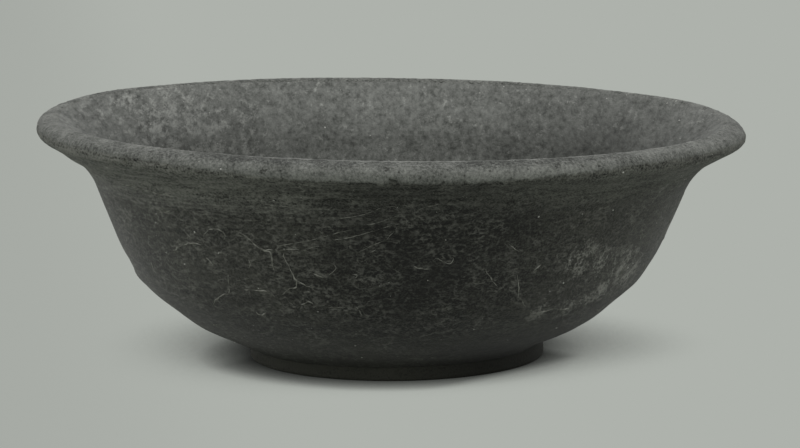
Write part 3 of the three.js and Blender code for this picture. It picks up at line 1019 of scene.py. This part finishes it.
# Marks on the outside: each has a width, and its points as azimuth and height
ROOT_MARKS = [
    (0.8, [(-57.6, 47.4), (-51.5, 47.2), (-44.8, 46.7), (-41.4, 46.4)]),
    (1.0, [(-46.9, 30.8), (-46.9, 31.6), (-45.5, 33.0), (-42.9, 34.2), (-40.1, 34.7), (-38.5, 34.7)]),
    (0.8, [(-42.3, 37.6), (-41.6, 36.7), (-40.7, 36.0)]),
    (0.8, [(-37.5, 36.0), (-37.1, 37.4), (-35.7, 38.9), (-33.9, 39.4), (-32.3, 38.7), (-32.0, 37.7),
           (-32.5, 36.7)]),
    (1.0, [(-34.7, 33.5), (-33.9, 33.1), (-33.1, 32.7)]),
    (0.6, [(-38.5, 31.6), (-37.6, 30.6), (-36.8, 29.7)]),
    (0.8, [(-33.7, 27.6), (-34.4, 25.9), (-34.6, 24.2), (-35.6, 22.5), (-38.0, 21.5), (-40.9, 19.5),
           (-41.9, 18.3)]),
    (0.6, [(-64.4, 35.9), (-61.7, 37.8), (-60.8, 38.2)]),
    (0.6, [(-58.4, 27.0), (-58.7, 25.6), (-58.7, 24.6)]),
    (0.6, [(-27.9, 32.3), (-27.8, 31.0), (-28.4, 30.0)]),
    (0.7, [(-47.2, 42.3), (-45.4, 42.1), (-43.8, 42.7)]),
    (0.8, [(-54.1, 10.4), (-50.2, 11.4), (-46.8, 11.8)]),
    (1.2, [(-28.6, 39.1), (-26.7, 37.4), (-25.3, 35.9), (-24.1, 35.1), (-22.9, 34.8), (-22.8, 33.2),
           (-22.9, 29.9)]),
    (0.7, [(-24.1, 35.1), (-23.0, 35.4), (-22.0, 35.3)]),
    (0.8, [(-23.1, 47.1), (-20.7, 47.0), (-18.3, 46.9), (-15.4, 46.6)]),
    (0.6, [(-17.0, 50.8), (-17.6, 48.5), (-17.9, 46.9)]),
    (0.8, [(-21.2, 35.0), (-19.6, 35.7), (-17.8, 36.0), (-16.8, 35.7)]),
    (0.9, [(-20.2, 34.8), (-20.1, 33.5), (-19.2, 30.3), (-18.7, 28.3), (-17.8, 27.4), (-16.5, 26.5),
           (-15.5, 26.4)]),
    (0.9, [(-22.3, 23.4), (-20.5, 25.3), (-19.1, 25.8), (-18.5, 26.8), (-18.2, 28.3)]),
    (0.9, [(-31.1, 24.1), (-28.9, 24.2), (-26.8, 24.3), (-25.4, 24.0), (-23.8, 23.1)]),
    (0.8, [(-21.5, 23.0), (-20.9, 22.0), (-20.2, 21.1)]),
    (0.9, [(-18.6, 21.2), (-17.5, 21.8), (-16.6, 22.4), (-15.7, 21.6)]),
    (1.0, [(-30.0, 18.2), (-29.8, 17.5), (-28.5, 17.6), (-27.5, 18.5)]),
    (1.1, [(-17.3, 24.7), (-16.5, 24.9), (-15.8, 25.0)]),
    (0.8, [(-14.8, 29.8), (-13.6, 29.4), (-12.6, 29.1)]),
    (0.8, [(-11.8, 29.5), (-10.9, 30.5), (-10.1, 31.6), (-10.3, 32.5)]),
    (0.7, [(-7.0, 30.1), (-6.0, 29.8), (-6.4, 29.1)]),
    (0.6, [(4.8, 32.6), (5.8, 31.9), (7.8, 31.7)]),
    (0.6, [(-12.6, 21.0), (-10.7, 21.1), (-8.8, 21.3)]),
    (0.6, [(-6.6, 21.6), (-5.9, 20.2), (-5.4, 19.2)]),
    (1.2, [(32.6, 18.8), (34.2, 18.2), (35.9, 18.5), (39.3, 18.8)]),
    (1.1, [(39.8, 18.6), (42.1, 18.1), (43.5, 18.4), (44.7, 19.0)]),
    (0.6, [(22.7, 37.8), (24.2, 36.4), (25.5, 35.3)]),
    (0.6, [(9.1, 34.5), (10.4, 33.5), (11.9, 33.1), (12.3, 34.4)]),
    (0.8, [(29.5, 29.7), (30.2, 30.6), (31.1, 31.5)]),
    (0.6, [(19.0, 31.2), (20.2, 29.4), (21.8, 27.3), (22.3, 26.6)]),
    (0.6, [(26.3, 29.3), (27.1, 26.6), (27.9, 23.8), (29.4, 21.9), (31.1, 20.0)]),
]
SCRATCHES = [
    (0.8, [(-20.5, 36.7), (-16.1, 37.9), (-12.3, 39.3), (-9.4, 40.6), (-6.1, 41.7)]),
    (0.7, [(-15.2, 36.2), (-14.0, 36.7), (-12.5, 37.2)]),
    (0.8, [(-10.9, 38.6), (-7.3, 39.5), (-4.7, 40.5), (-2.4, 41.5), (-0.8, 42.3), (2.1, 43.3)]),
    (0.9, [(-9.2, 44.2), (-6.0, 45.0), (-4.6, 45.5), (-2.8, 46.4), (-1.3, 47.5), (0.5, 47.9), (1.4, 47.4)]),
    (0.7, [(-4.2, 42.9), (-2.4, 43.3), (-0.8, 44.1), (1.8, 45.5)]),
    (0.9, [(-5.6, 35.7), (-2.9, 37.8), (-0.3, 39.3), (0.3, 40.3), (1.1, 41.4), (1.5, 42.4)]),
    (0.6, [(-3.4, 35.9), (-2.2, 36.8)]),
    (0.9, [(4.7, 46.7), (6.2, 47.6), (8.0, 48.4), (9.3, 49.0)]),
]

# More rootlets, which wander over the sides that aren't drawn
STRAY_SEED = 11
STRAY_COUNT = 60
STRAY_AZIMUTHS = (55, 280)
STRAY_STARTS = (7, 50)
STRAY_POINTS = (3, 7)
STRAY_BEND = 0.4
STRAY_STEP_AROUND = 1.1
STRAY_STEP_UP = 1.2
STRAY_LOWEST = 5.0
STRAY_HIGHEST = 51.0
STRAY_WIDTHS = (0.4, 0.8)

outside_runs = [section()[0][0] for section in (lower_wall_section, upper_wall_section, rim_section)]
outline = [point for run in outside_runs for point in run]


def around(azimuth, radius, height):
    """A point in the bowl's own frame. Azimuths are in degrees from the front, towards +X."""
    angle = math.radians(azimuth)
    return Vector((radius * math.sin(angle), -radius * math.cos(angle), height)) * MM


def on_wall(azimuth, height):
    """The point of the upright bowl's outside at an azimuth and a height."""
    radius = outline[-1].x
    for a, b in zip(outline, outline[1:]):
        if a.y <= height <= b.y and b.y > a.y:
            radius = a.x + (b.x - a.x) * (height - a.y) / (b.y - a.y)
            break
    return around(azimuth, radius, height)


def stray_marks():
    """More rootlets like the drawn ones."""
    chance = random.Random(STRAY_SEED)
    marks = []
    for _ in range(STRAY_COUNT):
        azimuth = chance.uniform(*STRAY_AZIMUTHS)
        height = chance.uniform(*STRAY_STARTS)
        heading = chance.uniform(0, math.tau)
        points = []
        for _ in range(chance.randint(*STRAY_POINTS)):
            points.append((azimuth, height))
            heading += chance.gauss(0, STRAY_BEND)
            azimuth += STRAY_STEP_AROUND * math.cos(heading)
            height += STRAY_STEP_UP * math.sin(heading)
            height = min(STRAY_HIGHEST, max(STRAY_LOWEST, height))
        marks.append((chance.uniform(*STRAY_WIDTHS), points))
    return marks


def mark_lines(name, marks):
    """Drawn lines on the upright bowl, each point with the line's width."""
    mesh = bpy.data.meshes.new(name)
    points = []
    edges = []
    widths = []
    for width, line in marks:
        edges += [(len(points) + i, len(points) + i + 1) for i in range(len(line) - 1)]
        points += [on_wall(*spot) for spot in line]
        widths += [width] * len(line)
    mesh.from_pydata(points, edges, [])
    mesh.attributes.new("width", "FLOAT", "POINT").data.foreach_set("value", widths)
    return mesh


chip_mesh = bpy.data.meshes.new("lip_chips")
chip_middles = [around(azimuth, RIM_RADIUS - CHIP_SUNK, height) for azimuth, height in LIP_CHIPS]
chip_mesh.from_pydata(chip_middles, [], [])
chip_points = bpy.data.objects.new("lip_chips", chip_mesh)
root_lines = mark_lines("root_marks", ROOT_MARKS + stray_marks())
root_paths = bpy.data.objects.new("root_paths", root_lines)


# The clay pieces

lean = math.radians(BOWL_LEAN)
bowl_frame = Matrix.Translation((-lip_nose.y * MM * math.sin(lean), 0, FOOT_RECESS * MM))
bowl_frame = bowl_frame @ Matrix.Rotation(lean, 4, "Y")
foot_low, foot_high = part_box("foot_ring")
foot_frame = Matrix.Translation(((foot_low.x + foot_high.x) / 2, 0, 0))

# How far each kind of unevenness moves the clay
FOOT_RELIEF = {"Wobble": 0.3, "Lumps": 0.25}
WALL_RELIEF = {**FOOT_RELIEF, "Wheel Lines": 0.12}
RIM_RELIEF = {**WALL_RELIEF, "Pits": 0.5, "Chip Depth": 0.7}

clay_tree = turned_clay_tree()
lip_clay = lip_clay_material()
wall_clay = wall_clay_material()
foot_clay = foot_clay_material()


def clay_piece(name, node, runs, spacing, place, clay, relief):
    """A piece of clay, turned from its section, that stands for a solid."""
    holder, closed = section_object(name, runs, spacing)
    values = {
        "Turn Steps": TURN_STEPS, "Closed": int(closed), "Clay": clay, "Chips": chip_points,
        "Roots": root_paths, "Core Radius": lip_nose.x * MM, "Core Height": lip_nose.y * MM}
    values.update({label: size * MM for label, size in relief.items()})
    grow(holder, clay_tree, values, place)
    holder.data.shade_smooth()
    holder.data.set_sharp_from_angle(angle=math.radians(SHARP_EDGE))
    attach(holder, "root")
    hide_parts(node)
    return holder


rim = clay_piece("rim_clay", "rim", rim_section(), LIP_SPACING,
                 bowl_frame, lip_clay, RIM_RELIEF)
upper_wall = clay_piece("upper_wall_clay", "upper_wall", upper_wall_section(), SECTION_SPACING,
                        bowl_frame, wall_clay, WALL_RELIEF)
lower_wall = clay_piece("lower_wall_clay", "lower_wall", lower_wall_section(), SECTION_SPACING,
                        bowl_frame, wall_clay, WALL_RELIEF)
clay_piece("base_disc_clay", "base_disc", base_disc_section(), SECTION_SPACING,
           bowl_frame, wall_clay, WALL_RELIEF)
clay_piece("foot_ring_clay", "foot_ring", foot_ring_section(), LIP_SPACING,
           foot_frame, foot_clay, FOOT_RELIEF)

# What lies on the clay
marked_clay = dict(zip(MARKED_CLAY, (rim, upper_wall, lower_wall)))
lines_tree = pale_lines_tree()
lime = lime_material()


def wall_marks(name, lines, half_width, stray, thinnest):
    """Threads of lime along drawn lines. The thinnest is a share of the width, where a thread breaks."""
    mesh = lines.copy()
    mesh.transform(bowl_frame)
    piece = grow(new_object(name, mesh), lines_tree, {
        **marked_clay, "Spacing": MARK_SPACING * MM, "Stray": stray * MM, "Half Width": half_width * MM,
        "Thinnest": thinnest, "Material": lime})
    piece.data.shade_smooth()
    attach(piece, "root")


wall_marks("root_marks", root_lines, half_width=0.26, stray=1.0, thinnest=0.25)
wall_marks("scratches", mark_lines("scratches", SCRATCHES),
           half_width=0.13, stray=0.4, thinnest=0.1)
smallest_grain, largest_grain = GRAIN_SIZES
grit = grow(new_object("grit", bpy.data.meshes.new("grit")), grit_tree(), {
    **marked_clay, "Grains per Square Metre": GRAINS_PER_SQUARE_METRE, "Smallest": smallest_grain * MM,
    "Largest": largest_grain * MM, "Seed": GRAIN_SEED, "Material": grit_material()})
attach(grit, "root")


# Stage, light and camera

PAPER_COLOUR = "#AEB2AC"
PAPER_HALF = 4000.0
FRONT_LIGHT = 0.2
SIDE_LIGHT = 0.5
TOP_LIGHT = 1.25
FRONT_TO_SIDE = (-0.95, 0.1)  # headings, as shares of straight back, over which the light changes
SIDE_TO_TOP = (0.15, 0.65)  # and as shares of straight up

# Shadow on the paper
LIGHT_SIDE = (0.05, -0.34, 0.94)  # the soft light comes from above, a little from the camera's side
SOFT_SHADOW_REACH = 400.0
SOFT_SHADOW_OPEN = (0.07, 0.5)  # share of open light at which the paper is black, and fully bright
DEEPER_PLACE = (66, 7, 0)  # the shadow is a little deeper to the right
DEEPER_REACH = 55.0
DEEPER_SHARE = 0.83
CONTACT_REACH = 9.0
CONTACT_OPEN = (0.2, 0.95)  # share of open light at which the touching edge is darkest, and at which it ends
CONTACT_DARKEST = 0.3
CONTACT_MIDDLE = 12.0  # in front of the bowl's middle, where the darkest edge is centred
CONTACT_TILT = (-0.1, 1, 0)
CONTACT_CORNERS = (44.0, 52.0)  # distances aside and off the middle, together, over which it fades
CONTACT_ACROSS = (-20.0, 20.0)
CONTACT_FADED = (0.55, 0.9)  # how bright it is past its corners, on the left and on the right
FALL_OFF_WAY = (1, 0.107, 0)
FALL_OFF = (-110.0, -20.0)  # where the paper's light is lowest on the left, and where it is full
FALL_OFF_LOWEST = 0.905
SHADOW_SAMPLES = 24


def paper_material():
    """Matte pale paper: evenly bright to the camera, and dark where the bowl hides most of the light."""
    material, tree, place = new_material("matte grey backdrop paper")
    light_side = add(tree, "ShaderNodeCombineXYZ", dict(enumerate(LIGHT_SIDE)))
    open_sky = add(tree, "ShaderNodeAmbientOcclusion", {
        "Distance": SOFT_SHADOW_REACH * MM, "Normal": light_side}, out="AO", samples=SHADOW_SAMPLES)
    middle = Vector(DEEPER_PLACE) * MM
    away = add(tree, "ShaderNodeVectorMath", {0: place, 1: middle}, out="Value", operation="DISTANCE")
    deeper = add(tree, "ShaderNodeMapRange", {
        "Value": away, "From Max": DEEPER_REACH * MM, "To Min": DEEPER_SHARE},
        interpolation_type="SMOOTHSTEP")
    open_sky = add(tree, "ShaderNodeMath", {0: open_sky, 1: deeper}, operation="MULTIPLY")
    tone = add(tree, "ShaderNodeMapRange", {
        "Value": open_sky, "From Min": SOFT_SHADOW_OPEN[0], "From Max": SOFT_SHADOW_OPEN[1]},
        interpolation_type="SMOOTHSTEP")

    # The touching edge is darkest, but less in front of the foot's ends and behind them, least on the right
    across = add(tree, "ShaderNodeSeparateXYZ", {0: place}, out="X")
    aside = add(tree, "ShaderNodeMath", {0: across}, operation="ABSOLUTE")
    off_middle = add(tree, "ShaderNodeVectorMath", {0: place, 1: CONTACT_TILT}, out="Value",
                     operation="DOT_PRODUCT")
    off_middle = add(tree, "ShaderNodeMath", {0: off_middle, 1: CONTACT_MIDDLE * MM}, operation="ADD")
    off_middle = add(tree, "ShaderNodeMath", {0: off_middle}, operation="ABSOLUTE")
    corner = add(tree, "ShaderNodeMath", {0: aside, 1: off_middle}, operation="ADD")
    fade_start, fade_end = CONTACT_CORNERS
    faded = change_along(tree, place, "X", CONTACT_ACROSS, *CONTACT_FADED)
    darkest = add(tree, "ShaderNodeMapRange", {
        "Value": corner, "From Min": fade_start * MM, "From Max": fade_end * MM,
        "To Min": CONTACT_DARKEST, "To Max": faded})
    contact = add(tree, "ShaderNodeAmbientOcclusion", {"Distance": CONTACT_REACH * MM}, out="AO",
                  samples=SHADOW_SAMPLES)
    contact = add(tree, "ShaderNodeMapRange", {
        "Value": contact, "From Min": CONTACT_OPEN[0], "From Max": CONTACT_OPEN[1], "To Min": darkest})

    # The light falls off towards the left
    left = add(tree, "ShaderNodeVectorMath", {0: place, 1: FALL_OFF_WAY}, out="Value",
               operation="DOT_PRODUCT")
    lowest, full = FALL_OFF
    left = add(tree, "ShaderNodeMapRange", {
        "Value": left, "From Min": lowest * MM, "From Max": full * MM, "To Min": FALL_OFF_LOWEST},
        interpolation_type="SMOOTHSTEP")
    for share in (contact, left):
        tone = add(tree, "ShaderNodeMath", {0: tone, 1: share}, operation="MULTIPLY")

    seen = add(tree, "ShaderNodeLightPath", out="Is Camera Ray")
    glow = add(tree, "ShaderNodeEmission", {"Color": linear(PAPER_COLOUR), "Strength": tone})
    paper = add(tree, "ShaderNodeBsdfDiffuse", {"Color": linear(PAPER_COLOUR)})
    mixed = add(tree, "ShaderNodeMixShader", {0: seen, 1: paper, 2: glow})
    add(tree, "ShaderNodeOutputMaterial", {"Surface": mixed}, out=None)
    return material


def make_floor():
    half = PAPER_HALF * MM
    mesh = bpy.data.meshes.new("paper_floor")
    corners = [(-half, -half, 0), (half, -half, 0), (half, half, 0), (-half, half, 0)]
    mesh.from_pydata(corners, [], [(0, 1, 2, 3)])
    mesh.materials.append(paper_material())
    floor = new_object("paper_floor", mesh)


def make_world():
    """Soft light from above and from a pale surround, which is darkest on the camera's side."""
    world = bpy.data.worlds.new("soft studio")
    world.use_nodes = True
    tree = world.node_tree
    tree.nodes.clear()
    shown = add(tree, "ShaderNodeLightPath", out="Is Camera Ray")
    heading = add(tree, "ShaderNodeTexCoord", out="Generated")
    heading = add(tree, "ShaderNodeSeparateXYZ", {0: heading}, out=None)
    level = add(tree, "ShaderNodeMapRange", {
        "Value": heading["Y"], "From Min": FRONT_TO_SIDE[0], "From Max": FRONT_TO_SIDE[1],
        "To Min": FRONT_LIGHT, "To Max": SIDE_LIGHT}, interpolation_type="SMOOTHSTEP")
    above = add(tree, "ShaderNodeMapRange", {
        "Value": heading["Z"], "From Min": SIDE_TO_TOP[0], "From Max": SIDE_TO_TOP[1]},
        interpolation_type="SMOOTHSTEP")
    strength = add(tree, "ShaderNodeMix", {0: above, 2: level, 3: TOP_LIGHT})
    seen = add(tree, "ShaderNodeBackground", {"Color": linear(PAPER_COLOUR), "Strength": 1.0})
    light = add(tree, "ShaderNodeBackground", {"Color": (1, 1, 1, 1), "Strength": strength})
    mixed = add(tree, "ShaderNodeMixShader", {0: shown, 1: light, 2: seen})
    add(tree, "ShaderNodeOutputWorld", {"Surface": mixed}, out=None)
    bpy.context.scene.world = world


def make_camera():
    lift = math.radians(CAMERA_ELEVATION)
    ahead = Vector((0, math.cos(lift), -math.sin(lift)))
    upwards = Vector((0, math.sin(lift), math.cos(lift)))
    data = bpy.data.cameras.new("camera")
    data.sensor_width = SENSOR_WIDTH
    data.lens = SENSOR_WIDTH * FOCAL_LENGTH_PX / IMAGE_WIDTH_PX
    data.clip_start = CAMERA_NEAR_LIMIT * MM
    camera = new_object("camera", data)
    facing = Matrix((Vector((1, 0, 0)), upwards, -ahead)).transposed().to_4x4()
    roll = Matrix.Rotation(-math.radians(CAMERA_ROLL), 4, "Z")
    eye = (Vector(CAMERA_AIM) - ahead * CAMERA_DISTANCE) * MM
    camera.matrix_world = Matrix.Translation(eye) @ facing @ roll
    bpy.context.scene.camera = camera


make_floor()
make_world()
make_camera()
bpy.context.scene.view_settings.view_transform = "Standard"
